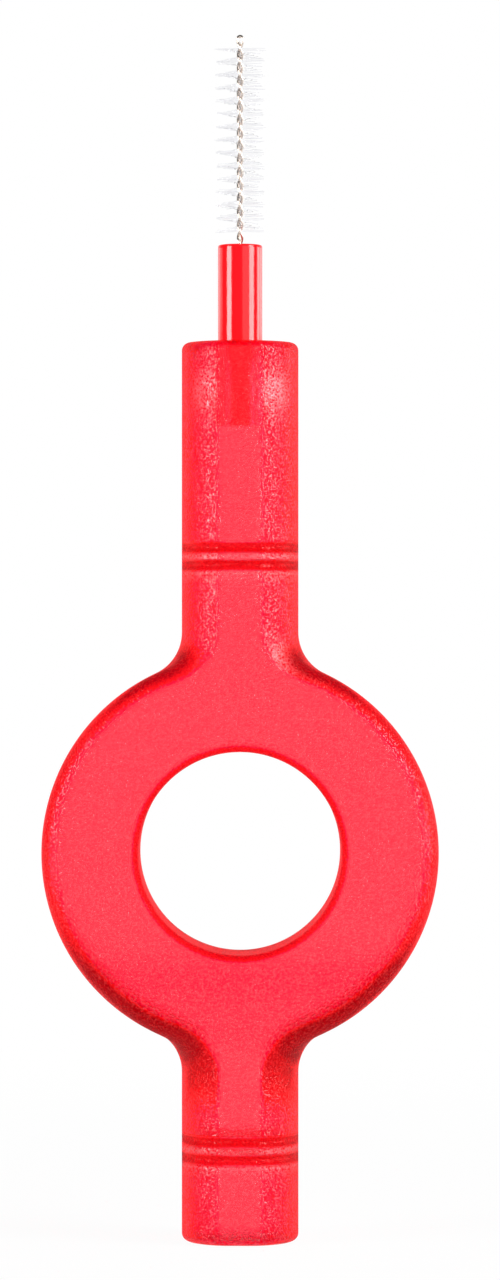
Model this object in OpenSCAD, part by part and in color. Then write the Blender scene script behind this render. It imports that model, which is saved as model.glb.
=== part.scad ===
// Interdental brush in a ring-shaped travel holder. It stands upright: the lower
// stub rests on the ground, the brush points up and the front face looks along -Y.

/* [Ring] */
// Outside diameter of the finger ring
ring_d = 20; // [18:0.25:23]
// Diameter of the hole through the ring
hole_d = 10.2; // [8:0.1:12]
// Thickness of the whole moulding, front face to back face
thickness = 5.6; // [4.8:0.05:5.8]
// Rounding of the ring's outer edges
outer_round = 1.15; // [0.6:0.05:1.8]
// Rounding of the edges of the ring's hole
inner_round = 0.45; // [0.2:0.05:0.8]

/* [Stubs] */
// Diameter of the round stubs above and below the ring
stub_d = 5.9; // [5.85:0.05:6.6]
// Length of the upper stub, from the neck to its end
upper_stub_l = 14.65; // [11:0.05:22]
// Length of the lower stub, from the neck to its end
lower_stub_l = 8.55; // [6.5:0.05:14]
// Radius of the neck fillets between the stubs and the ring
neck_round = 2.3; // [1.4:0.05:3.5]
// Rounding round the end of each stub
end_round = 0.4; // [0.2:0.05:0.7]

/* [Grip ribs] */
// Distance from the neck to the middle of the grip rib on each stub
rib_from_neck = 3.8; // [1.8:0.05:5.2]
// Width of the raised bead between the two grooves of a rib
bead_w = 0.3; // [0.15:0.05:0.6]
// Radius of the round-bottomed grooves
groove_r = 0.3; // [0.2:0.02:0.4]
// Depth of the grooves at the middle of the flat faces
groove_depth = 0.3; // [0.15:0.02:0.4]
// How far behind the stub's axis a groove's arc is centred, so that it runs out at the sides
groove_shift = 0.5; // [0.4:0.02:0.8]

/* [Socket] */
// Depth of the socket for the brush shank in the upper stub
socket_depth = 4.25; // [3:0.05:8]
// Running clearance round the shank, on the radius
socket_clearance = 0.02; // [0.01:0.005:0.06]
// Gap left under the end of the shank
socket_floor_gap = 0.05; // [0.02:0.01:0.2]
// Chamfer at the mouth of the socket
mouth_chamfer = 0.18; // [0.1:0.02:0.4]

/* [Brush shank] */
// Diameter of the plastic shank
shank_d = 2.25; // [1.8:0.05:2.8]
// Length of the shank that stands out of the socket
shank_out = 4.95; // [3:0.05:9]
// Chamfer at the top edge of the shank
shank_top_chamfer = 0.08; // [0.04:0.02:0.2]
// Lead-in chamfer at the inserted end of the shank
shank_lead_chamfer = 0.25; // [0.1:0.05:0.5]

/* [Twisted wire] */
// Diameter of the wire
wire_d = 0.15; // [0.12:0.01:0.18]
// Space between the two strands, where the filaments are pinched
wire_gap = 0.05; // [0.05:0.005:0.08]
// Height that the strands take for one full turn round each other
twist_pitch = 1.323; // [1.1:0.01:1.8]
// Length of wire above the shank, to the tip of the hairpin
wire_out = 10.65; // [8:0.05:14]
// Length of wire moulded into the shank
wire_tail = 3; // [2:0.1:5]
// Width of the hairpin bend at the tip, between the middles of the strands
hairpin_w = 0.25; // [0.22:0.01:0.32]
// Height over which the twist eases out below the hairpin bend
hairpin_ease = 0.3; // [0.2:0.02:0.4]
// Clearance round the wire's tail in the shank, on the radius
tail_clearance = 0.012; // [0.01:0.002:0.03]

/* [Bristles] */
// Diameter across the bristles
brush_d = 2.5; // [1.8:0.05:5]
// Height of the lowest filament above the shank
brush_start = 0.7; // [0.4:0.02:1.5]
// Bare wire between the highest filament and the tip
tip_bare = 0.68; // [0.6:0.02:1.5]
// Number of filaments; each passes between the strands and makes two bristles
filaments = 190; // [150:1:200]
// Height of one filament
filament_h = 0.036; // [0.02:0.002:0.036]
// Clearance between a filament and each strand of wire
pinch_clearance = 0.005; // [0.004:0.001:0.008]
// Half width of the thin slice on the wire's axis that the filaments grow from
slice_reach = 0.06; // [0.05:0.005:0.08]
// How far the tips stray up and down from level
tip_sway = 0.08; // [0:0.01:0.1]

/* [Hidden] */
$fn = 96;

holder_colour = [0.96, 0.2, 0.25];
shank_colour = [0.93, 0.1, 0.13];
wire_colour = [0.66, 0.63, 0.6];
bristle_colour = [0.95, 0.95, 0.96];

// Overrun of cuts past the faces that they open
overrun = 1;
// How far the ends of a neck dip under the surfaces that they run into
neck_dip = 0.02;
// How far the top of a neck runs on into its stub
neck_lap = 0.4;

ring_r = ring_d / 2;
hole_r = hole_d / 2;
half_t = thickness / 2;
stub_r = stub_d / 2;
shank_r = shank_d / 2;

// The neck fillets are centred beside the stub and touch both the stub and the ring.
neck_x = stub_r + neck_round;
neck_reach = ring_r + neck_round;
neck_rise = sqrt(neck_reach * neck_reach - neck_x * neck_x);
neck_turn = acos(neck_x / neck_reach);
neck_steps = 8;
rim_steps = 12;

// The roots of the stubs and necks end inside the ring, as shares of the band between hole and rim.
stub_root_share = 0.42;
neck_root_share = 0.34;
neck_root_w_share = 0.85;
stub_root = hole_r + stub_root_share * (ring_r - hole_r);
neck_root = hole_r + neck_root_share * (ring_r - hole_r);

ring_z = lower_stub_l + neck_rise;
holder_top = ring_z + neck_rise + upper_stub_l;
shank_top = holder_top + shank_out;
shank_bottom = holder_top - socket_depth + socket_floor_gap;

groove_floor_r = half_t - groove_depth + groove_shift;
groove_step = bead_w / 2 + groove_r;
// Each groove's arc stops short of the sides, where it has already run out
groove_sweep = 160;

// The wire and the bristles are set out from the top of the shank.
strand_r = (wire_d + wire_gap) / 2;
hairpin_r = hairpin_w / 2;
twist_top = wire_out - wire_d / 2 - hairpin_r;
ease_start = twist_top - hairpin_ease;
wire_sides = 6;
curl_rings = 8;
hairpin_rings = 8;
rise_rings = ceil((twist_top + wire_tail) / twist_pitch * curl_rings);

brush_l = wire_out - brush_start - tip_bare;
filament_step = brush_l / (filaments - 1);
filament_half_w = wire_gap / 2 - pinch_clearance;
// Turn between one filament's sway and the next, and the share of a strand that trimming varies
sway_turn = 47;
trim_turn = 101;
trim_share = 0.03;

function mix(a, b, share) = a + (b - a) * share;
function ease(share) = share * share * (3 - 2 * share);
function unit(v) = v / norm(v);
function quad(a, b, c, d) = [[a, b, c], [a, c, d]];

// Triangles round a stack of closed loops with the same number of points
function wall_faces(count, size) = [
    for (i = [0:count - 2], k = [0:size - 1])
        let (n = (k + 1) % size)
        each quad(i * size + k, (i + 1) * size + k, (i + 1) * size + n, i * size + n)
];

// Triangles across one loop, in strips between its first half and its second
function cap_faces(first, size, top) = [
    for (k = [0:size / 2 - 2])
        let (a = first + k, b = first + size - 1 - k)
        each top ? quad(a, b, b - 1, a + 1) : quad(a, a + 1, b - 1, b)
];

function closed_faces(points, size) = concat(
    wall_faces(len(points) / size, size),
    cap_faces(0, size, false),
    cap_faces(len(points) - size, size, true)
);

// The side of a stub and the rim of the ring, each as a point [inset from the silhouette, y]
// where u runs from -1 on the front face to 1 on the back face
function stub_point(u) =
    let (a = u * asin(min(1, half_t / stub_r)))
    [stub_r * (1 - cos(a)), stub_r * sin(a)];

function rim_point(u) =
    let (wall = half_t - outer_round)
    let (along = abs(u) * (wall + outer_round * PI / 2))
    let (a = max(0, along - wall) / outer_round * 180 / PI)
    [outer_round * (1 - cos(a)), sign(u) * (min(along, wall) + outer_round * sin(a))];

// A point on the right side of a neck: step 0 touches the stub and the last step touches the ring
function neck_point(step, u) =
    let (share = step / neck_steps, turn = neck_turn * share)
    let (p = mix(stub_point(u), rim_point(u), ease(share)))
    let (reach = neck_round + p[0] + (step == 0 || step == neck_steps ? neck_dip : 0))
    [neck_x - reach * cos(turn), p[1], neck_rise - reach * sin(turn)];

function neck_side(step, u) =
    let (first = neck_point(0, u), last = neck_point(neck_steps, u))
    step < 0 ? [first[0], first[1], neck_rise + neck_lap]
    : step > neck_steps ? [last[0] * neck_root_w_share, last[1], neck_root]
    : neck_point(step, u);

function neck_loop(step) =
    let (side = [for (k = [0:rim_steps]) neck_side(step, 1 - 2 * k / rim_steps)])
    concat(side, [for (k = [rim_steps:-1:0]) [-side[k][0], side[k][1], side[k][2]]]);

// Direction of the filaments round the axis at a height above the shank. The twist is left-handed.
function twist(z) =
    let (past = max(0, z - ease_start))
    let (turned = min(z, ease_start) + past - past * past / (2 * hairpin_ease))
    -360 * (turned - brush_start) / twist_pitch;

function strand_reach(z) =
    mix(strand_r, hairpin_r, ease(max(0, z - ease_start) / hairpin_ease));

// The wire's middle line and the way out from its axis: up one strand, over the hairpin, down the other
function rise_point(i) =
    let (z = mix(-wire_tail, twist_top, i / rise_rings), a = twist(z) + 90)
    [[strand_reach(z) * cos(a), strand_reach(z) * sin(a), z], [cos(a), sin(a), 0]];

function hairpin_point(i) =
    let (side = rise_point(rise_rings)[1], a = 180 * i / hairpin_rings)
    let (way_out = side * cos(a) + [0, 0, sin(a)])
    [hairpin_r * way_out + [0, 0, twist_top], way_out];

function half_turned(p) = [for (v = p) [-v[0], -v[1], v[2]]];

wire_line = concat(
    [for (i = [0:rise_rings]) rise_point(i)],
    [for (i = [1:hairpin_rings - 1]) hairpin_point(i)],
    [for (i = [rise_rings:-1:0]) half_turned(rise_point(i))]
);

function wire_loop(i) =
    let (last = len(wire_line) - 1, at = wire_line[i][0])
    let (along = unit(wire_line[min(i + 1, last)][0] - wire_line[max(i - 1, 0)][0]))
    let (way_out = wire_line[i][1])
    let (side = unit(way_out - along * (along * way_out)), across = cross(along, side))
    [
        for (k = [0:wire_sides - 1])
            let (a = (k + 1 / 2) * 360 / wire_sides)
            at + wire_d / 2 * (side * cos(a) + across * sin(a))
    ];

// One filament: the four corners of its slice, at its lower or upper face, then its two tips
function turned(a, x, y, z) = [x * cos(a) - y * sin(a), x * sin(a) + y * cos(a), z];

function filament_z(i) = brush_start + filament_step * i;

function slice_loop(i, top) =
    let (z = filament_z(i) + (top - 1 / 2) * filament_h, w = filament_half_w)
    [
        for (p = [[1, -1], [1, 1], [-1, 1], [-1, -1]])
            turned(twist(filament_z(i)), p[0] * slice_reach, p[1] * w, z)
    ];

function tip_corners(i, end) =
    let (sway = tip_sway * sin(sway_turn * i) * end)
    let (reach = brush_d / 2 * (1 - trim_share * (1 + sin(trim_turn * i)) / 2))
    [
        for (p = [[-1, -1], [1, -1], [1, 1], [-1, 1]])
            turned(
                twist(filament_z(i)),
                end * reach,
                end * p[0] * filament_half_w,
                filament_z(i) + sway + p[1] * filament_h / 2
            )
    ];

// Triangles of one bristle, from the four corners of its root to the four of its tip
function strand_faces(root, tip) = concat(
    [
        for (k = [0:3])
            let (n = (k + 1) % 4)
            each quad(root[k], tip + k, tip + n, root[n])
    ],
    quad(tip, tip + 3, tip + 2, tip + 1)
);

module end_outline(half_w, length) {
    translate([-half_w, 0])
        square([2 * half_w, length - end_round]);
    translate([end_round - half_w, 0])
        square([2 * (half_w - end_round), length]);
    for (side = [-1, 1])
        translate([side * (half_w - end_round), length - end_round])
            circle(end_round);
}

// A stub with flats front and back, set out from the ring's centre
module stub(stub_l) {
    length = neck_rise + stub_l - stub_root;
    translate([0, 0, stub_root])
        intersection() {
            rotate_extrude()
                intersection() {
                    end_outline(stub_r, length);
                    square([stub_r, length]);
                }
            rotate([90, 0, 90])
                linear_extrude(stub_d + 2 * overrun, center = true)
                    end_outline(half_t, length);
        }
}

// The blend from a round stub to the flat ring, lofted along the two neck fillets
module neck() {
    points = [for (step = [-1:neck_steps + 1]) each neck_loop(step)];
    polyhedron(points, closed_faces(points, len(neck_loop(0))));
}

// Two grooves that leave a bead between them, on the front and on the back
module rib_grooves() {
    for (turn = [0, 180], step = [-1, 1])
        rotate(turn)
            translate([0, -groove_shift, neck_rise + rib_from_neck + step * groove_step])
                rotate(90 - groove_sweep / 2)
                    rotate_extrude(angle = groove_sweep)
                        translate([groove_floor_r + groove_r, 0])
                            circle(groove_r);
}

module arm(stub_l) {
    difference() {
        stub(stub_l);
        rib_grooves();
    }
    neck();
}

module rim_outline() {
    translate([hole_r + inner_round, -half_t])
        square([ring_r - outer_round - hole_r - inner_round, thickness]);
    translate([hole_r, inner_round - half_t])
        square([ring_r - outer_round - hole_r, thickness - 2 * inner_round]);
    translate([hole_r + inner_round, outer_round - half_t])
        square([ring_r - hole_r - inner_round, thickness - 2 * outer_round]);
    for (face = [-1, 1]) {
        translate([hole_r + inner_round, face * (half_t - inner_round)])
            circle(inner_round);
        translate([ring_r - outer_round, face * (half_t - outer_round)])
            circle(outer_round);
    }
}

module ring() {
    rotate([90, 0, 0])
        rotate_extrude()
            rim_outline();
}

module socket() {
    bore_r = shank_r + socket_clearance;
    translate([0, 0, holder_top])
        rotate_extrude()
            polygon([
                [0, -socket_depth],
                [bore_r, -socket_depth],
                [bore_r, -mouth_chamfer],
                [bore_r + mouth_chamfer, 0],
                [bore_r + mouth_chamfer, overrun],
                [0, overrun]
            ]);
}

module holder() {
    color(holder_colour)
        difference() {
            translate([0, 0, ring_z]) {
                ring();
                arm(upper_stub_l);
                mirror([0, 0, 1])
                    arm(lower_stub_l);
            }
            socket();
        }
}

module brush_shank() {
    length = shank_top - shank_bottom;
    tail_r = strand_r + wire_d / 2 + tail_clearance;
    color(shank_colour)
        difference() {
            translate([0, 0, shank_bottom])
                rotate_extrude()
                    polygon([
                        [0, 0],
                        [shank_r - shank_lead_chamfer, 0],
                        [shank_r, shank_lead_chamfer],
                        [shank_r, length - shank_top_chamfer],
                        [shank_r - shank_top_chamfer, length],
                        [0, length]
                    ]);
            translate([0, 0, shank_top - wire_tail])
                cylinder(wire_tail + overrun, r = tail_r);
        }
}

// One wire, folded in a hairpin at the tip and twisted on itself
module wire_core() {
    points = [for (i = [0:len(wire_line) - 1]) each wire_loop(i)];
    color(wire_colour)
        translate([0, 0, shank_top])
            polyhedron(points, closed_faces(points, wire_sides));
}

// Filaments on the double helix of the wire, joined by the thin slice between its strands
module bristles() {
    slices = [for (i = [0:filaments - 1], top = [0, 1]) each slice_loop(i, top)];
    tips = [for (i = [0:filaments - 1], end = [1, -1]) each tip_corners(i, end)];
    slice_faces = [
        for (i = [0:2 * filaments - 2], k = [0:3])
            if (i % 2 == 1 || k % 2 == 1)
                let (n = (k + 1) % 4)
                each quad(4 * i + k, 4 * i + 4 + k, 4 * i + 4 + n, 4 * i + n)
    ];
    bristle_faces = [
        for (i = [0:filaments - 1], side = [0, 1])
            let (a = 8 * i + 2 * side)
            each strand_faces([a, a + 1, a + 5, a + 4], len(slices) + 8 * i + 4 * side)
    ];
    faces = concat(
        slice_faces,
        bristle_faces,
        cap_faces(0, 4, false),
        cap_faces(len(slices) - 4, 4, true)
    );
    color(bristle_colour)
        translate([0, 0, shank_top])
            polyhedron(concat(slices, tips), faces);
}

// The least gap between the two strands, measured between the points of their middle lines
strand_points = [for (i = [0:rise_rings]) rise_point(i)[0]];
strand_gap = min([
    for (p = strand_points, q = strand_points)
        norm(p - [-q[0], -q[1], q[2]])
]) - wire_d;
echo(bristles_in_all = 2 * filaments, least_gap_between_strands = strand_gap);

holder();
brush_shank();
wire_core();
bristles();
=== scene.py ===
import math

import bmesh
import bpy
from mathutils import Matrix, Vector
from mathutils.geometry import tessellate_polygon


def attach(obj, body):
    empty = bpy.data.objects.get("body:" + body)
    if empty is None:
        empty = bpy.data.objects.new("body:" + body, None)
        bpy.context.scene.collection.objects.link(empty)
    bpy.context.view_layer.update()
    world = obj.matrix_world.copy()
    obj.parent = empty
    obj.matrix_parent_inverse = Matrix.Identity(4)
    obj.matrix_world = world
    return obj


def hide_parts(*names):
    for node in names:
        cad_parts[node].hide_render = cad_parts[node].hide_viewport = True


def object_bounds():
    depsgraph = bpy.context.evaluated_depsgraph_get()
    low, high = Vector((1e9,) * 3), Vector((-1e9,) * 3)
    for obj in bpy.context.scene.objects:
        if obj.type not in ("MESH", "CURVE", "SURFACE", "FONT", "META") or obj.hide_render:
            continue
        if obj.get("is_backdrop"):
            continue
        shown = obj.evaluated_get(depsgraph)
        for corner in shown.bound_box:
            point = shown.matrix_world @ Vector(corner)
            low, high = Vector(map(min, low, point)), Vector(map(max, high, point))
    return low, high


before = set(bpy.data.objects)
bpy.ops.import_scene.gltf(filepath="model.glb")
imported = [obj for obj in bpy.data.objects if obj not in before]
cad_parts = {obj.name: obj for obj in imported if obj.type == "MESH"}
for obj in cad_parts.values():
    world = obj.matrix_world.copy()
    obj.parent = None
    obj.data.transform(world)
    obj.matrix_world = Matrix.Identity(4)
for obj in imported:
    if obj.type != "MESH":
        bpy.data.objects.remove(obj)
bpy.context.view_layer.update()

# Holder
# One injection moulding in translucent red plastic with a fine satin grain. A flat ring for the
# fingertip runs through filleted necks into a round stub above and a shorter one below. Both stubs have
# flats front and back, crossed by a grip rib, and the upper one has the blind socket for the brush.

# Sizes are in millimetres, and MM turns them into metres.
MM = 0.001
ring_r = 10.0
hole_r = 5.1
half_t = 2.8
outer_round = 1.15
inner_round = 0.45
stub_r = 2.95
lower_stub_l = 8.55
upper_stub_l = 14.65
neck_round = 2.3
end_round = 0.4
flat_blend = 0.1
neck_x = stub_r + neck_round
neck_rise = math.sqrt((ring_r + neck_round) ** 2 - neck_x**2)
neck_turn = math.acos(neck_x / (ring_r + neck_round))
ring_z = lower_stub_l + neck_rise
upper_stub_z = ring_z + neck_rise
holder_top = upper_stub_z + upper_stub_l

# A grip rib is a crest between two grooves, which are deepest on the flats and run out at the sides.
rib_from_neck = 3.8
groove_half = 0.31
groove_apart = 0.45
groove_floor_r = 3.0
groove_shift = 0.5
groove_depth = 0.22
groove_fullness = 0.7
rib_heights = (lower_stub_l - rib_from_neck, upper_stub_z + rib_from_neck)

socket_r = 1.145
socket_depth = 4.25
mouth_chamfer = 0.18
mouth_depth = 0.2

# How finely each stretch of the surface is divided.
side_steps = 22
margin_steps = 3
margin_share = 0.115
flat_columns = 6
neck_steps = 18
ring_steps = 92
hole_steps = 180
hole_round_steps = 8
end_steps = 7


def ease(share):
    """A smooth step that goes from 0 to 1 as the share does."""
    share = min(1, max(0, share))
    return share * share * (3 - 2 * share)


def soft_least(a, b, blend):
    """The smaller of two values, with the change from one to the other rounded off."""
    near = max(blend - abs(a - b), 0) / blend
    return min(a, b) - near * near * blend / 4


def side_shares():
    """From the front flat round the side to the back flat, past the edge of each flat by a margin."""
    half = [i / side_steps for i in range(side_steps + 1)]
    half += [1 + margin_share * (i + 1) / margin_steps for i in range(margin_steps)]
    return [-u for u in reversed(half[1:])] + half


def stub_side(u, shrink=0.0):
    """Inset from the silhouette and depth y on a stub's side, with the flat's edge softened."""
    angle = abs(u) * math.asin(half_t / stub_r)
    reach = stub_r - shrink
    y = soft_least(reach * math.sin(angle), half_t - shrink, flat_blend)
    return stub_r - reach * math.cos(angle), math.copysign(max(0, y), u) if u else 0.0


def rim_side(u):
    """The same for the ring's rim: a straight wall, a rounding and the start of the flat face."""
    wall = half_t - outer_round
    along = abs(u) * (wall + outer_round * math.pi / 2)
    angle = min(max(0, along - wall) / outer_round, math.pi / 2)
    past = max(0, along - wall - outer_round * math.pi / 2)
    y = min(along, wall) + outer_round * math.sin(angle)
    return outer_round * (1 - math.cos(angle)) + past, math.copysign(y, u) if u else 0.0


def neck_side(u, share):
    """The same for a neck, which goes over from the stub's side to the rim's."""
    a, b, e = stub_side(u), rim_side(u), ease(share)
    return a[0] + (b[0] - a[0]) * e, a[1] + (b[1] - a[1]) * e


def groove_share(z):
    """How far down the profile of a groove a height lies, from 0 outside it to 1 along its floor."""
    share = 0
    for height in rib_heights:
        off = min(1, abs(abs(z - height) - groove_apart) / groove_half)
        share = max(share, (1 + math.cos(math.pi * off)) / 2)
    return share**groove_fullness


def carved(x, y, z):
    """A point of a stub, pushed in where a groove of a grip rib crosses it."""
    shift = math.copysign(groove_shift, y)
    reach = math.hypot(x, y + shift)
    room = min(groove_depth, max(0, reach - groove_floor_r))
    new = reach - room * groove_share(z)
    return x * new / reach, (y + shift) * new / reach - shift, z


def stub_heights(low, high, rib):
    """Heights of the rows between the neck and the end's rounding, close together across the rib."""
    rib_half, fine, coarse = 0.95, 0.038, 0.42
    rib_low, rib_high = rib - rib_half, rib + rib_half
    below = max(1, round((rib_low - low) / coarse))
    above = max(1, round((high - rib_high) / coarse))
    across = round(2 * rib_half / fine)
    heights = [low + (rib_low - low) * i / below for i in range(below)]
    heights += [rib_low + 2 * rib_half * i / across for i in range(across)]
    return heights + [rib_high + (high - rib_high) * i / above for i in range(above + 1)]


holder_mesh = bmesh.new()
# Attributes for the painted shade, the matt finish, and the extra glint with its painted highlight.
painted_shade = holder_mesh.verts.layers.float.new("painted_shade")
matt = holder_mesh.verts.layers.float.new("matt")
glint_and_highlight = holder_mesh.verts.layers.float.new("glint_and_highlight")
groove_dark = 0.68
groove_wall_share = 0.5


def add_points(points):
    return [holder_mesh.verts.new(Vector(p) * MM) for p in points]


def add_strip(first, second, closed):
    """Faces between two rows of points."""
    count = len(first)
    for i in range(count if closed else count - 1):
        n = (i + 1) % count
        holder_mesh.faces.new((first[i], second[i], second[n], first[n]))


def add_fan(loop, centre):
    """Faces between a closed row and a point in its middle."""
    for i in range(len(loop)):
        holder_mesh.faces.new((loop[i], centre, loop[(i + 1) % len(loop)]))


def stub_loop(z, shrink=0.0):
    """One closed row round a stub: right side, back flat, left side, front flat."""
    right = [(stub_r - i, y, z) for i, y in (stub_side(u, shrink) for u in side_shares())]
    inner, depth = right[-1][0], half_t - shrink
    columns = [inner - 2 * inner * (i + 1) / (flat_columns + 1) for i in range(flat_columns)]
    back = [(x, depth, z) for x in columns]
    left = [(-x, y, z) for x, y, z in reversed(right)]
    front = [(-x, -depth, z) for x in columns]
    made = {}
    for name, part in (("right", right), ("back", back), ("left", left), ("front", front)):
        made[name] = add_points([carved(*p) for p in part])
        # Painted shade in the grooves.
        for vert in made[name]:
            vert[painted_shade] = groove_dark * ease(groove_share(z) / groove_wall_share)
    made["loop"] = made["right"] + made["back"] + made["left"] + made["front"]
    return made


def end_rows(end, way):
    """Heights and insets of the rows that round a stub's end over."""
    turns = [math.pi / 2 * (i + 1) / end_steps for i in range(end_steps)]
    return [
        (end - way * end_round * (1 - math.sin(a)), end_round * (1 - math.cos(a)))
        for a in turns
    ]


upper_heights = stub_heights(upper_stub_z, holder_top - end_round, rib_heights[1])
upper_rows = [stub_loop(z) for z in upper_heights]
upper_rows += [stub_loop(z, shrink) for z, shrink in end_rows(holder_top, 1)]
lower_heights = stub_heights(-lower_stub_l, -end_round, -rib_heights[0])
lower_rows = [stub_loop(-z) for z in lower_heights]
lower_rows += [stub_loop(z, shrink) for z, shrink in end_rows(0, -1)]
for rows in (upper_rows, lower_rows):
    for a, b in zip(rows, rows[1:]):
        add_strip(a["loop"], b["loop"], True)

# The end face of the upper stub runs in over the chamfered mouth to the floor of the socket. The first
# row lies halfway between the outline and the mouth, and the others have the radius and drop given here.
outline = upper_rows[-1]["loop"]
angles = [math.atan2(v.co.y, v.co.x) for v in outline]
mouth_r = socket_r + mouth_chamfer
halfway = None
socket_rows = [(halfway, 0), (mouth_r, 0), (mouth_r - 0.03, -0.02), (socket_r + 0.02, -0.15)]
socket_rows += [(socket_r, -mouth_depth), (socket_r, -socket_depth / 2), (socket_r, -socket_depth)]
socket_rows += [(socket_r / 2, -socket_depth)]
last = outline
socket_wall = []
for radius, drop in socket_rows:
    ring = []
    for angle, v in zip(angles, outline):
        reach = radius or (math.hypot(v.co.x, v.co.y) / MM + mouth_r) / 2
        ring.append((reach * math.cos(angle), reach * math.sin(angle), holder_top + drop))
    ring = add_points(ring)
    add_strip(last, ring, True)
    if radius == socket_r and drop < -mouth_depth:
        socket_wall += ring
    last = ring
add_fan(last, add_points([(0, 0, holder_top - socket_depth)])[0])
for face in {face for vert in socket_wall for face in vert.link_faces}:
    face.material_index = 1

# The end face of the lower stub is closed, with two rows between its outline and its middle.
outline = lower_rows[-1]["loop"]
last = outline
for share in (0.7, 0.35):
    ring = add_points([(v.co.x / MM * share, v.co.y / MM * share, 0) for v in outline])
    add_strip(last, ring, True)
    last = ring
add_fan(last, add_points([(0, 0, 0)])[0])

# The necks and the rim of the ring, down the right side; the left side is its mirror image.
side_rows = []
for step in range(1, neck_steps + 1):
    share = step / neck_steps
    turn = neck_turn * share
    row = []
    for inset, y in (neck_side(u, share) for u in side_shares()):
        reach = neck_round + inset
        row.append((neck_x - reach * math.cos(turn), y, neck_rise - reach * math.sin(turn)))
    side_rows.append(row)
for step in range(1, ring_steps // 2 + 1):
    turn = neck_turn * (1 - 2 * step / ring_steps)
    row = []
    for inset, y in (rim_side(u) for u in side_shares()):
        reach = ring_r - inset
        row.append((reach * math.cos(turn), y, reach * math.sin(turn)))
    side_rows.append(row)
side_rows += [[(x, y, -z) for x, y, z in row] for row in reversed(side_rows[:-1])]
chains = {}
for side, sign in (("right", 1), ("left", -1)):
    chain = [upper_rows[0][side]]
    for row in side_rows:
        row = [(sign * x, y, ring_z + z) for x, y, z in row]
        chain.append(add_points(row if sign > 0 else row[::-1]))
    chain.append(lower_rows[0][side])
    for a, b in zip(chain, chain[1:]):
        add_strip(a, b, False)
    chains[side] = chain

# The hole through the ring, with its two rounded edges and a margin of the flat face round each.
hole_margin = 0.25
hole_wall_row = 1.2
hole_profile = [(hole_r + inner_round + hole_margin, -half_t)]
for i in range(hole_round_steps + 1):
    a = math.pi / 2 * i / hole_round_steps
    r = hole_r + inner_round * (1 - math.sin(a))
    hole_profile.append((r, inner_round * (1 - math.cos(a)) - half_t))
hole_profile += [(hole_r, -hole_wall_row), (hole_r, 0)]
hole_profile += [(r, -y) for r, y in reversed(hole_profile[:-1])]
hole_rings = []
for r, y in hole_profile:
    turns = [2 * math.pi * i / hole_steps for i in range(hole_steps)]
    hole_rings.append(add_points([(r * math.cos(a), y, ring_z + r * math.sin(a)) for a in turns]))
for a, b in zip(hole_rings, hole_rings[1:]):
    add_strip(a, b, True)

# The flat faces of the ring and necks, front and back.
for end, flat, ring in ((0, "front", hole_rings[0]), (-1, "back", hole_rings[-1])):
    down = [row[end] for row in chains["right"]]
    up = [row[-1 - end] for row in reversed(chains["left"])]
    low, high = lower_rows[0][flat], upper_rows[0][flat]
    low, high = (low[::-1], high) if flat == "front" else (low, high[::-1])
    border = down + low + up + high
    corners = border + ring
    for face in tessellate_polygon([[v.co for v in border], [v.co for v in ring]]):
        holder_mesh.faces.new([corners[i] for i in face])

bmesh.ops.recalc_face_normals(holder_mesh, faces=holder_mesh.faces)
holder_mesh.normal_update()

# Light and shade are painted into the plastic's colour. It is palest on the flats, a little deeper with
# painted shade on the face under the hole, deeper still on everything rounded, painted there for the
# light that crosses the plastic at a slant, and darkest with painted shade in the grooves and on the
# shoulders of
# the necks: the shade attribute goes from 0 to 1 over these. The attribute matt is 0 on the flats and 1
# on the walls between them, which come out of the mould more matt. The glint attribute is over 0 where
# the grain glints more and its tops are painted paler as a painted highlight: near the top, on the right
# neck, and on the crests of the ribs and the lips under them.
# How strong each painted shade is, how matt the walls get, and how strong the extra glint and painted
# highlight are.
round_dark, side_dark, neck_dark, flank_dark = 0.75, 0.25, 1.0, 0.8
rim_dark, hole_dark, hole_wall_dark, socket_dark = 0.4, 0.4, 0.1, 0.25
low_face_dark, shade_dark = 0.1, 0.07
matt_curve, dark_matt, hole_matt = 1.5, 0.4, 0.7
shine_left, shine_right, neck_shine, lip_shine = 0.7, 1.3, 1.2, 0.7

# Where these lie, in millimetres. In a pair, something starts at the first and is complete at the second.
low_face_top = (15.2, 13.0)
low_face_foot = (lower_stub_l + 0.5, lower_stub_l + 2.0)
shade_z, shade_half = 13.6, 1.4
flank_low = (lower_stub_l - 2.2, lower_stub_l + 0.2)
flank_high = (lower_stub_l + 1.9, lower_stub_l + 0.9)
ring_x = (4.6, 6.6)
shine_z, shine_half = 42.9, 0.9
neck_shine_z, neck_shine_half = 29.4, 0.75
neck_shine_x = (1.1, 1.8)
crest_half, lip_half, lip_drop = 0.12, 0.1, 0.85

# Others go by how squarely the surface faces front or back, which is 0 on the sides and 1 on the flats.
off_flat, off_front = (0.99, 0.93), (0.8, 0.45)
flank_in, flank_out = (0.28, 0.55), (0.985, 0.925)
rim_in, rim_out = (0.25, 0.5), (0.9, 0.65)
hole_in, hole_out = (0.02, 0.22), (0.98, 0.78)
shine_in, shine_out = (0.5, 0.8), (0.98, 0.9)
upper_slope, lower_slope, slope_width = 0.22, 0.0, 0.45
side_clear = 0.1


def between(value, start, end):
    """0 as far as the start, 1 from the end on, and a smooth step between. The end may be lower."""
    return ease((value - start) / (end - start))


def bell(value, middle, half):
    return math.exp(-((value - middle) / half) ** 2)


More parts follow.
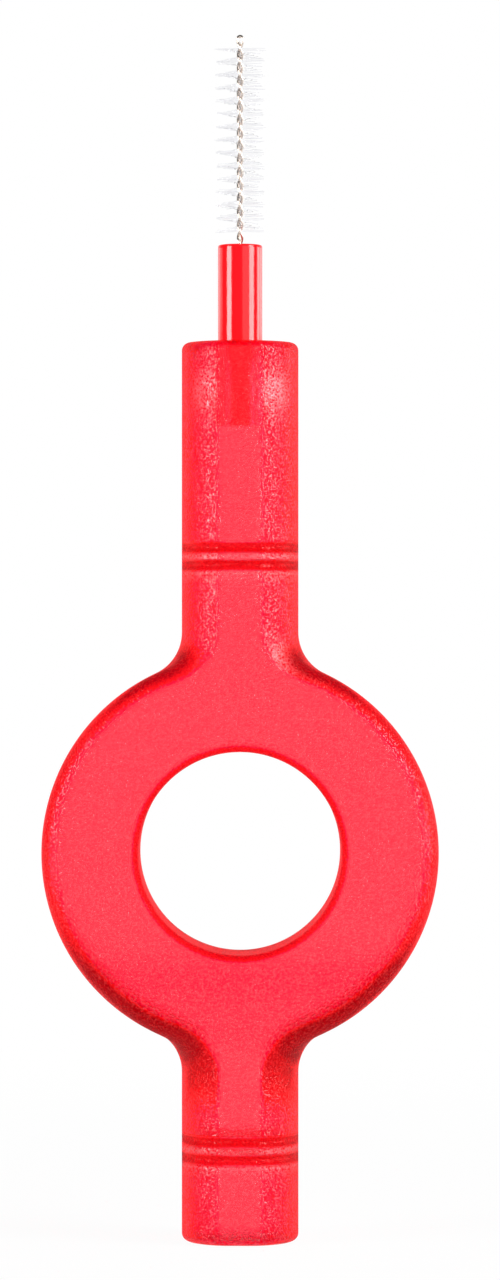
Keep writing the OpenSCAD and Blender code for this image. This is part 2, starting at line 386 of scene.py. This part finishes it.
for vert in holder_mesh.verts:
    x, y, z = vert.co / MM
    in_groove = vert[painted_shade]
    # In a groove, what counts is the round side that it is cut into.
    facing = math.sqrt(max(0, 1 - (x / stub_r) ** 2)) if in_groove else abs(vert.normal.y)
    from_centre = math.hypot(x, z - ring_z)
    hole_edge = from_centre < hole_r + inner_round - 0.01
    # Painted shade: deeper red on everything rounded, and a little on the face under the hole.
    rounded = round_dark * between(facing, *off_flat) + side_dark * between(facing, *off_front)
    low_face = low_face_dark * between(z, *low_face_top) * between(z, *low_face_foot)
    low_face += shade_dark * bell(z, shade_z, shade_half)
    # Painted shade in the grooves, on the shoulders of the necks, on the lower flanks, along the rim and
    # round the hole.
    dark = in_groove
    outside = math.hypot(x, y) > stub_r * 0.8 and from_centre > hole_r + inner_round
    if outside and end_round < z < holder_top - end_round and not in_groove:
        slope = upper_slope if z > ring_z else lower_slope
        dark = neck_dark * between(abs(vert.normal.z), slope, slope + slope_width)
        flank = between(facing, *flank_in) * between(facing, *flank_out)
        flank *= between(z, *flank_low) * between(z, *flank_high)
        dark = max(dark, flank_dark * flank)
        # Seen from the side the shoulders are clear of painted shade, and the ring's rim is clear further
        # round.
        on_ring = between(abs(x), *ring_x)
        shown = between(facing, 0.05 + 0.25 * on_ring, 0.4 + 0.35 * on_ring)
        dark *= side_clear + (1 - side_clear) * shown
        rim = on_ring * between(facing, *rim_in) * between(facing, *rim_out)
        dark = max(dark, rim_dark * rim)
    if hole_edge:
        edge = between(facing, *hole_in) * between(facing, *hole_out)
        dark = hole_dark * edge + hole_wall_dark
    vert[painted_shade] = (max(rounded, dark) + dark) / 2 + low_face
    vert[matt] = (1 - facing) ** matt_curve + dark_matt * dark
    if hole_edge:
        vert[matt] = max(vert[matt], hole_matt)
    # More glint, and a painted highlight, near the top (stronger on the right) and on the right neck;
    # then on the rib crests and the lips under them.
    shine = bell(z, shine_z, shine_half) * (shine_right if x > 0 else shine_left)
    if x > 0:
        shine += neck_shine * bell(z, neck_shine_z, neck_shine_half) * between(x, *neck_shine_x)
    shine *= between(facing, *shine_in) * between(facing, *shine_out) * (1 - dark)
    for height in rib_heights:
        shine += bell(z, height, crest_half) + lip_shine * bell(z, height - lip_drop, lip_half)
    vert[glint_and_highlight] = shine
# The wall of the socket gets a little painted shade and no matt.
for vert in socket_wall:
    vert[painted_shade], vert[matt] = socket_dark, 0


sharp_angle = math.radians(40)


def smooth_piece(name, mesh):
    """The object of a finished mesh, shaded smooth but for its sharp edges."""
    for face in mesh.faces:
        face.smooth = True
    data = bpy.data.meshes.new(name)
    mesh.to_mesh(data)
    mesh.free()
    data.set_sharp_from_angle(angle=sharp_angle)
    piece = bpy.data.objects.new(name, data)
    bpy.context.collection.objects.link(piece)
    return piece


holder = smooth_piece("holder_moulding", holder_mesh)


def set_inputs(tree, node, inputs):
    """Gives inputs, by name or number, a value or a link from the output that feeds them."""
    for name, value in inputs.items():
        if isinstance(value, bpy.types.NodeSocket):
            tree.links.new(value, node.inputs[name])
        else:
            node.inputs[name].default_value = value


def add_node(tree, kind, inputs=None, **settings):
    """A node with its properties and its inputs set."""
    node = tree.nodes.new(kind)
    for name, value in settings.items():
        setattr(node, name, value)
    set_inputs(tree, node, inputs or {})
    return node


def math_node(tree, operation, *values, clamp=False):
    """The output of a Math node on values or outputs."""
    settings = {"operation": operation, "use_clamp": clamp}
    return add_node(tree, "ShaderNodeMath", dict(enumerate(values)), **settings).outputs[0]


def range_node(tree, value, low=0.0, high=1.0, to_low=0.0, to_high=1.0, shape="LINEAR"):
    """The output of a Map Range node, which turns low to high into to_low to to_high."""
    ends = {"Value": value, "From Min": low, "From Max": high, "To Min": to_low, "To Max": to_high}
    node = add_node(tree, "ShaderNodeMapRange", ends, interpolation_type=shape)
    return node.outputs["Result"]


def attribute(tree, name):
    return add_node(tree, "ShaderNodeAttribute", attribute_name=name).outputs["Fac"]


def new_material(name, inputs):
    """A material with the inputs of its shader set."""
    material = bpy.data.materials.new(name)
    material.use_nodes = True
    tree = material.node_tree
    set_inputs(tree, tree.nodes["Principled BSDF"], inputs)
    return material


holder_plastic = new_material("translucent_red_plastic", {
    "IOR": 1.2,
    "Transmission Weight": 0.85,
    "Specular Tint": (1.0, 0.1, 0.14, 1),
    "Coat Roughness": 0.1,
})
tree = holder_plastic.node_tree
shader = tree.nodes["Principled BSDF"]
place = add_node(tree, "ShaderNodeTexCoord").outputs["Object"]

# The satin grain of the mould: 0 at the bottom of its pits and 1 on its tops.
grain_size = {"Scale": 9200.0, "Detail": 1.0, "Roughness": 0.5}
grain = add_node(tree, "ShaderNodeTexNoise", {"Vector": place, **grain_size})
pits = range_node(tree, grain.outputs["Fac"], 0.33, 0.67)

# Painted shade deepens the coral to darker reds, with faint clouds and the grain in it.
cloud_size = {"Scale": 900.0, "Detail": 3.0, "Roughness": 0.6}
clouds = add_node(tree, "ShaderNodeTexNoise", {"Vector": place, **cloud_size})
cloudy = range_node(tree, clouds.outputs["Fac"], to_low=-0.05, to_high=0.05)
depth = math_node(tree, "ADD", attribute(tree, "painted_shade"), cloudy, clamp=True)
speck = range_node(tree, pits, to_low=0.1, to_high=-0.1)
specked = math_node(tree, "ADD", depth, speck, clamp=True)
reds = add_node(tree, "ShaderNodeValToRGB", {"Fac": specked})
stops = reds.color_ramp.elements
stops[0].color = (1.0, 0.062, 0.094, 1)
stops[1].color = (0.3, 0.0, 0.001, 1)
stops.new(0.33).color = (0.93, 0.004, 0.045, 1)
stops.new(0.44).color = (0.8, 0.002, 0.02, 1)
stops.new(0.52).color = (1.0, 0.004, 0.006, 1)
stops.new(0.6).color = (0.95, 0.001, 0.003, 1)

# The grain in the gloss and in the surface. The walls are more matt than the rest and the flats clearer.
walls = attribute(tree, "matt")
satin = range_node(tree, pits, to_low=0.34, to_high=0.28)
rough = math_node(tree, "MULTIPLY_ADD", walls, 0.35, satin)
clear_flats = range_node(tree, walls, 0.0, 0.02, -0.16, 0.0)
bump_size = {"Strength": 1.0, "Distance": 0.02 * MM}
bump = add_node(tree, "ShaderNodeBump", {"Height": pits, **bump_size}).outputs["Normal"]

# Only the tops of the grain are smooth enough to glint, and more of them where the glint attribute is
# high.
shine_spots = attribute(tree, "glint_and_highlight")
glossier = math_node(tree, "MULTIPLY_ADD", shine_spots, 0.25, pits)
tops = range_node(tree, glossier, 0.4, 0.8)
weight = math_node(tree, "MULTIPLY_ADD", shine_spots, 0.5, 0.8)
open_faces = range_node(tree, walls, 0.0, 0.65, 1.0, 0.05)
topped = math_node(tree, "MULTIPLY", tops, weight)
glints = math_node(tree, "MULTIPLY", topped, open_faces, clamp=True)

# In the same places the tops of the grain are painted a little white, a painted highlight.
highlight_tops = math_node(tree, "MULTIPLY", shine_spots, pits)
painted_highlight = math_node(tree, "MULTIPLY", highlight_tops, 0.27, clamp=True)
colours = {"Color1": reds.outputs["Color"], "Color2": (1.0, 0.6, 0.65, 1)}
highlighted_colour = add_node(tree, "ShaderNodeMixRGB", {"Fac": painted_highlight, **colours})
set_inputs(tree, shader, {
    "Base Color": highlighted_colour.outputs["Color"],
    "Roughness": math_node(tree, "ADD", rough, clear_flats),
    "Normal": bump,
    "Coat Weight": glints,
    "Coat Normal": bump,
})
holder.data.materials.append(holder_plastic)

# The wall of the socket mirrors more, because a film of air lies between it and the shank.
socket_plastic = holder_plastic.copy()
socket_plastic.name = "translucent_red_plastic_in_the_socket"
tree = socket_plastic.node_tree
shader = tree.nodes["Principled BSDF"]
for name in ("Roughness", "Coat Weight", "Normal"):
    tree.links.remove(shader.inputs[name].links[0])
set_inputs(tree, shader, {"IOR": 1.7, "Roughness": 0.1, "Coat Weight": 0.0})
holder.data.materials.append(socket_plastic)
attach(holder, "holder")
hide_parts("holder")

# Brush shank
# A straight pin of glossy red plastic, moulded round the tail of the wire. Its chamfered end pushes into
# the holder's socket, and its rim is slightly rounded where the wire comes out.
shank_r = 1.125
shank_out = 4.95
socket_gap = 0.05
shank_top = holder_top + shank_out
shank_bottom = holder_top - socket_depth + socket_gap
shank_turns = 72
tail_hole_r = 0.187
tail_hole_depth = 0.5

# Each point of the foot is a radius and a height over the bottom. A point of the rim is its distance
# inside the shank's side and under its top, and one of the hole a radius and its depth.
shank_foot = [(0, 0), (0.6, 0), (0.84, 0), (0.9, 0.03), (1.1, 0.23), (shank_r, 0.29), (shank_r, 0.34)]
shank_rim = [(0, 0.18), (0, 0.12), (0.012, 0.06), (0.045, 0.015), (0.09, 0)]
tail_hole = [(0.7, 0), (0.24, 0), (0.2, 0.02), (tail_hole_r, 0.06), (tail_hole_r, tail_hole_depth)]
tail_hole += [(0, tail_hole_depth)]
shank_profile = [(r, shank_bottom + rise) for r, rise in shank_foot] + [(shank_r, holder_top)]
shank_profile += [(shank_r - inset, shank_top - drop) for inset, drop in shank_rim]
shank_profile += [(r, shank_top - drop) for r, drop in tail_hole]


def revolved(name, profile, turns):
    """A closed solid of revolution about Z. The profile runs from the axis back to the axis."""
    mesh = bmesh.new()
    rings = []
    for r, z in profile:
        count = turns if r else 1
        around = [2 * math.pi * i / turns for i in range(count)]
        points = [Vector((r * math.cos(a), r * math.sin(a), z)) for a in around]
        rings.append([mesh.verts.new(point * MM) for point in points])
    for first, second in zip(rings, rings[1:]):
        for i in range(turns):
            n = (i + 1) % turns
            if len(first) == 1:
                mesh.faces.new((first[0], second[n], second[i]))
            elif len(second) == 1:
                mesh.faces.new((first[i], first[n], second[0]))
            else:
                mesh.faces.new((first[i], first[n], second[n], second[i]))
    bmesh.ops.recalc_face_normals(mesh, faces=mesh.faces)
    return smooth_piece(name, mesh)


shank = revolved("shank_pin", shank_profile, shank_turns)
shank_plastic = new_material("glossy_red_plastic", {
    "Base Color": (0.92, 0.005, 0.01, 1),
    "Roughness": 0.1,
    "IOR": 1.45,
})
shank.data.materials.append(shank_plastic)
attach(shank, "brush")
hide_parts("brush_shank")

# Wire
# One length of fine stainless wire, folded in a hairpin at the tip and twisted on itself, left-handed.
# Its two ends are moulded into the shank.
wire_d = 0.15
wire_gap = 0.05
twist_pitch = 1.323
wire_out = 10.65
wire_tail = 3.0
hairpin_r = 0.125
hairpin_ease = 0.3
brush_start = 0.7
strand_r = (wire_d + wire_gap) / 2
twist_top = wire_out - wire_d / 2 - hairpin_r
ease_start = twist_top - hairpin_ease
wire_step = 0.036
hairpin_steps = 20


def twist(z):
    """The angle of the strands at a height over the shank. The twist dies away before the hairpin."""
    past = max(0, z - ease_start)
    turned = min(z, ease_start) + past - past * past / (2 * hairpin_ease)
    return -2 * math.pi * (turned - brush_start) / twist_pitch


def strand_point(z):
    """A point on the middle line of the rising strand."""
    reach = strand_r + (hairpin_r - strand_r) * ease((z - ease_start) / hairpin_ease)
    angle = twist(z) + math.pi / 2
    return Vector((reach * math.cos(angle), reach * math.sin(angle), z))


twisted_l = twist_top + wire_tail
rise_steps = round(twisted_l / wire_step)
rise = [strand_point(twisted_l * i / rise_steps - wire_tail) for i in range(rise_steps + 1)]
side = Vector((rise[-1].x, rise[-1].y, 0)).normalized()
bend = []
for i in range(1, hairpin_steps):
    a = math.pi * i / hairpin_steps
    over = hairpin_r * (side * math.cos(a) + Vector((0, 0, math.sin(a))))
    bend.append(over + Vector((0, 0, twist_top)))
fall = [Vector((-p.x, -p.y, p.z)) for p in reversed(rise)]
wire_line = [(p + Vector((0, 0, shank_top))) * MM for p in rise + bend + fall]

wire_steel = new_material("drawn_steel_wire", {
    "Base Color": (0.66, 0.58, 0.52, 1),
    "Metallic": 1.0,
    "Roughness": 0.2,
})


def node_group(name, sizes):
    """A Geometry Nodes tree with a named input for each size, and the outputs that hand them on."""
    tree = bpy.data.node_groups.new(name, "GeometryNodeTree")
    tree.interface.new_socket("Geometry", in_out="INPUT", socket_type="NodeSocketGeometry")
    for size, value in sizes.items():
        kind = "NodeSocketInt" if isinstance(value, int) else "NodeSocketFloat"
        tree.interface.new_socket(size, in_out="INPUT", socket_type=kind)
    tree.interface.new_socket("Geometry", in_out="OUTPUT", socket_type="NodeSocketGeometry")
    return tree, tree.nodes.new("NodeGroupInput").outputs


def sweep_out(tree, curve, diameter, sides, material):
    """Ends a tree: a round section is swept along its curve, made real and given its material."""
    section = {"Radius": math_node(tree, "MULTIPLY", diameter, 0.5), "Resolution": sides}
    circle = add_node(tree, "GeometryNodeCurvePrimitiveCircle", section).outputs["Curve"]
    lines = {"Curve": curve, "Profile Curve": circle, "Fill Caps": True}
    mesh = add_node(tree, "GeometryNodeCurveToMesh", lines).outputs["Mesh"]
    for kind in ("GeometryNodeSetShadeSmooth", "GeometryNodeRealizeInstances"):
        mesh = add_node(tree, kind, {"Geometry": mesh}).outputs["Geometry"]
    finish = add_node(tree, "GeometryNodeSetMaterial", {"Geometry": mesh, "Material": material})
    add_node(tree, "NodeGroupOutput", {"Geometry": finish.outputs["Geometry"]})


def grown(name, data, tree, sizes):
    """The plain mesh that a Geometry Nodes tree makes of a mesh, as an object of its own."""
    seed = bpy.data.objects.new(name + "_seed", data)
    bpy.context.collection.objects.link(seed)
    modifier = seed.modifiers.new(name, "NODES")
    modifier.node_group = tree
    for item in tree.interface.items_tree:
        if item.in_out == "INPUT" and item.name in sizes:
            modifier[item.identifier] = sizes[item.name]
    bpy.context.view_layer.update()
    evaluated = seed.evaluated_get(bpy.context.evaluated_depsgraph_get())
    result = bpy.data.meshes.new_from_object(evaluated)
    result.name = name
    bpy.data.objects.remove(seed)
    piece = bpy.data.objects.new(name, result)
    bpy.context.collection.objects.link(piece)
    return piece


line = bpy.data.meshes.new("wire_line")
line.from_pydata(wire_line, [(i, i + 1) for i in range(len(wire_line) - 1)], [])
wire_sizes = {"Wire diameter": wire_d * MM, "Sides": 12}
tree, given = node_group("wire_sweep", wire_sizes)
curve = add_node(tree, "GeometryNodeMeshToCurve", {"Mesh": given["Geometry"]}).outputs["Curve"]
sweep_out(tree, curve, given["Wire diameter"], given["Sides"], wire_steel)
wire = grown("twisted_wire", line, tree, wire_sizes)
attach(wire, "brush")
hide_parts("wire_core")

# Bristles
# Fine clear nylon filaments, laid between the two strands before the wire was twisted. Each is pinched
# at its middle and stands out on both sides, so that they follow the twist in two helical rows.
bare_tip = 0.68
brush_sizes = {
    "Filaments": 200,
    "Start": (shank_top + brush_start) * MM,
    "Rise": (wire_out - brush_start - bare_tip) * MM,
    "Twist pitch": twist_pitch * MM,
    "Brush diameter": 2.5 * MM,
    "Filament diameter": 0.04 * MM,
    "Waviness": 0.05 * MM,
    "Sway": 0.09 * MM,
    "Trim": 0.05,
    "Seed": 11,
}
filament_points = 17
filament_sides = 6
nylon = new_material("clear_nylon", {
    "Base Color": (0.93, 0.93, 0.95, 1),
    "Roughness": 0.12,
    "IOR": 1.2,
    "Transmission Weight": 1.0,
})

# The filaments start as points up the wire's axis, each with its turn on the twist.
tree, given = node_group("filaments_on_a_twist", brush_sizes)
gaps = math_node(tree, "SUBTRACT", given["Filaments"], 1)
order = add_node(tree, "GeometryNodeInputIndex").outputs["Index"]
risen = math_node(tree, "MULTIPLY", math_node(tree, "DIVIDE", order, gaps), given["Rise"])
height = math_node(tree, "ADD", risen, given["Start"])
wound = math_node(tree, "MULTIPLY", risen, -2 * math.pi)
turn = math_node(tree, "DIVIDE", wound, given["Twist pitch"])
spot = add_node(tree, "ShaderNodeCombineXYZ", {"Z": height}).outputs["Vector"]
points = add_node(tree, "GeometryNodePoints", {"Count": given["Filaments"], "Position": spot})

# One filament lies along X; it is cut into short lengths so that it can wave.
half = math_node(tree, "MULTIPLY", given["Brush diameter"], 0.5)
ends = {}
for name, way in (("Start", -1), ("End", 1)):
    along = math_node(tree, "MULTIPLY", half, way)
    ends[name] = add_node(tree, "ShaderNodeCombineXYZ", {"X": along}).outputs["Vector"]
strand = add_node(tree, "GeometryNodeCurvePrimitiveLine", ends).outputs["Curve"]
lengths = {"Curve": strand, "Count": filament_points}
cut = add_node(tree, "GeometryNodeResampleCurve", lengths).outputs["Curve"]

# Each copy is turned into its place on the twist and trimmed to a length of its own.
facing = add_node(tree, "ShaderNodeCombineXYZ", {"Z": turn}).outputs["Vector"]
shortest = math_node(tree, "SUBTRACT", 1.0, given["Trim"])
trim_range = {2: shortest, 3: 1.0, "Seed": given["Seed"]}
trimmed = add_node(tree, "FunctionNodeRandomValue", trim_range, data_type="FLOAT").outputs[1]
size = add_node(tree, "ShaderNodeCombineXYZ", {"X": trimmed, "Y": 1.0, "Z": 1.0}).outputs["Vector"]
copies = add_node(tree, "GeometryNodeInstanceOnPoints", {
    "Points": points.outputs["Points"],
    "Instance": cut,
    "Rotation": facing,
    "Scale": size,
}).outputs["Instances"]
loose = add_node(tree, "GeometryNodeRealizeInstances", {"Geometry": copies}).outputs["Geometry"]

# Waves and sway grow from nothing at the wire to their full size at the tips. Both change slowly along
# a filament, and so fast with the height that no two filaments move alike.
at = add_node(tree, "GeometryNodeInputPosition").outputs["Position"]
parts = add_node(tree, "ShaderNodeSeparateXYZ", {"Vector": at}).outputs
across = math_node(tree, "MULTIPLY", parts["X"], parts["X"])
across = math_node(tree, "ADD", across, math_node(tree, "MULTIPLY", parts["Y"], parts["Y"]))
out = math_node(tree, "DIVIDE", math_node(tree, "SQRT", across), half)
height_scale = 47000.0


def vector_node(tree, operation, inputs):
    """The output of a Vector Math node."""
    return add_node(tree, "ShaderNodeVectorMath", inputs, operation=operation).outputs["Vector"]


moves = {}
for i, (scale, amount) in enumerate(((1800.0, "Waviness"), (350.0, "Sway"))):
    sample = vector_node(tree, "MULTIPLY", {0: at, 1: (scale, scale, height_scale)})
    wave = {"Vector": sample, "W": given["Seed"], "Scale": 1.0, "Detail": 0.0}
    noise = add_node(tree, "ShaderNodeTexNoise", wave, noise_dimensions="4D").outputs["Color"]
    centred = vector_node(tree, "SUBTRACT", {0: noise, 1: (0.5, 0.5, 0.5)})
    most = math_node(tree, "MULTIPLY", given[amount], 3.0)
    grows = math_node(tree, "MULTIPLY", most, out)
    moves[i] = vector_node(tree, "SCALE", {0: centred, "Scale": grows})
moved = {"Geometry": loose, "Offset": vector_node(tree, "ADD", moves)}
waved = add_node(tree, "GeometryNodeSetPosition", moved).outputs["Geometry"]
sweep_out(tree, waved, given["Filament diameter"], filament_sides, nylon)
bristles = grown("nylon_filaments", bpy.data.meshes.new("no_points"), tree, brush_sizes)
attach(bristles, "brush")
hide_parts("bristles")

# Floor
# A plain pale floor under the brush, which stands on its lower stub. The camera and the clear parts of
# the brush see it as white, while it keeps a faint shadow.
floor_half = 1.2
floor_gap = 0.02
floor_mesh = bpy.data.meshes.new("floor")
floor_corners = [(floor_half * x, floor_half * y, 0) for x, y in ((-1, -1), (1, -1), (1, 1), (-1, 1))]
floor_mesh.from_pydata(floor_corners, [], [(0, 1, 2, 3)])
floor = bpy.data.objects.new("floor", floor_mesh)
floor.location.z = -floor_gap * MM
bpy.context.collection.objects.link(floor)
floor_paint = new_material("pale_floor", {
    "Base Color": (0.9, 0.9, 0.9, 1),
    "Roughness": 0.9,
    "Specular IOR Level": 0.0,
})
tree = floor_paint.node_tree
shader = tree.nodes["Principled BSDF"]
plain = add_node(tree, "ShaderNodeEmission", {"Color": (1, 1, 1, 1), "Strength": 1.0})
rays = add_node(tree, "ShaderNodeLightPath").outputs
seen = math_node(tree, "MAXIMUM", rays["Is Camera Ray"], rays["Is Glossy Ray"])
seen = math_node(tree, "MAXIMUM", seen, rays["Is Transmission Ray"])
place = add_node(tree, "ShaderNodeTexCoord").outputs["Object"]
away = add_node(tree, "ShaderNodeVectorMath", {0: place}, operation="LENGTH").outputs["Value"]
smooth = "SMOOTHSTEP"
whiter = range_node(tree, away, 0.02, 0.12, 0.95, 1, shape=smooth)
surfaces = {1: shader.outputs["BSDF"], 2: plain.outputs["Emission"]}
share = math_node(tree, "MULTIPLY", seen, whiter)
mixed = add_node(tree, "ShaderNodeMixShader", {"Fac": share, **surfaces})
set_inputs(tree, tree.nodes["Material Output"], {"Surface": mixed.outputs["Shader"]})
floor_mesh.materials.append(floor_paint)
floor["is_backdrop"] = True

# Studio
# White surroundings, which light the brush mostly from behind. Beside the camera stand a tall soft box
# on each side and a white card, and behind the brush a weak lamp and two strips that the shank mirrors.
world = bpy.data.worlds.new("studio")
bpy.context.scene.world = world
world.use_nodes = True
tree = world.node_tree
white = add_node(tree, "ShaderNodeBackground", {"Color": (1, 1, 1, 1), "Strength": 1.0})
direction = add_node(tree, "ShaderNodeTexCoord").outputs["Generated"]
way = add_node(tree, "ShaderNodeSeparateXYZ", {"Vector": direction}).outputs
rays = add_node(tree, "ShaderNodeLightPath").outputs
level = range_node(tree, math_node(tree, "ABSOLUTE", way["Z"]), 0.45, 0.85, 1, 0, shape=smooth)
behind = math_node(tree, "MULTIPLY", range_node(tree, way["Y"], 0.4, 0.95, shape=smooth), level)
beside = range_node(tree, way["Y"], -0.5, 0.1, 0.8, 1, shape=smooth)
clear = math_node(tree, "MULTIPLY", beside, level)
around = tree.nodes["Background"]
glow = range_node(tree, behind, 0, 1, 0.1, 1, shape=smooth)
set_inputs(tree, around, {"Color": (1, 1, 1, 1), "Strength": glow})
mirrored = math_node(tree, "MULTIPLY", rays["Is Glossy Ray"], behind)
through = math_node(tree, "MULTIPLY", rays["Is Transmission Ray"], clear)
seen = math_node(tree, "MAXIMUM", mirrored, through)
seen = math_node(tree, "MAXIMUM", rays["Is Camera Ray"], seen)
skies = {1: around.outputs["Background"], 2: white.outputs["Background"]}
mixed = add_node(tree, "ShaderNodeMixShader", {"Fac": seen, **skies})
set_inputs(tree, tree.nodes["World Output"], {"Surface": mixed.outputs["Shader"]})


def soft_box(name, place, target, width, height, power):
    """A rectangular lamp that faces its target."""
    lamp = bpy.data.lights.new(name, "AREA")
    lamp.shape = "RECTANGLE"
    lamp.size, lamp.size_y = width, height
    lamp.energy = power
    box = bpy.data.objects.new(name, lamp)
    box.location = place
    box.rotation_euler = (Vector(target) - Vector(place)).to_track_quat("-Z", "Y").to_euler()
    bpy.context.collection.objects.link(box)


middle = (0, 0, 0.035)
brush_end = (0, 0, 0.071)
strip_size = (0.22, 0.016)
soft_box("soft_box_left", (-0.259, -0.156, 0.085), (0, 0, 0.085), 0.14, 0.17, 1.0)
soft_box("soft_box_right", (0.268, -0.14, 0.155), (0, 0, 0.155), 0.15, 0.31, 1.7)
soft_box("kicker_right", (0.285, 0.093, 0.04), middle, 0.1, 0.15, 0.22)
soft_box("strip_left", (-0.246, 0.172, 0.071), brush_end, *strip_size, 0.016)
soft_box("strip_right", (0.246, 0.172, 0.071), brush_end, *strip_size, 0.03)
soft_box("card_right", (0.242, -0.437, 0.06), middle, 0.3, 0.4, 0.5)

# Camera
# It stands straight in front at half the height of the brush, a quarter of a metre away, and its lens is
# long enough for the brush to fill the picture from top to bottom.
lens = bpy.data.cameras.new("camera")
lens.lens = 144.4
lens.sensor_width = 36
lens.clip_start = 0.01
camera = bpy.data.objects.new("camera", lens)
camera.location = (0.0005, -0.26, 0.0304)
camera.rotation_euler = (math.pi / 2, 0, 0)
bpy.context.collection.objects.link(camera)
bpy.context.scene.camera = camera
bpy.context.scene.view_settings.view_transform = "Standard"

low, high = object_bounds()
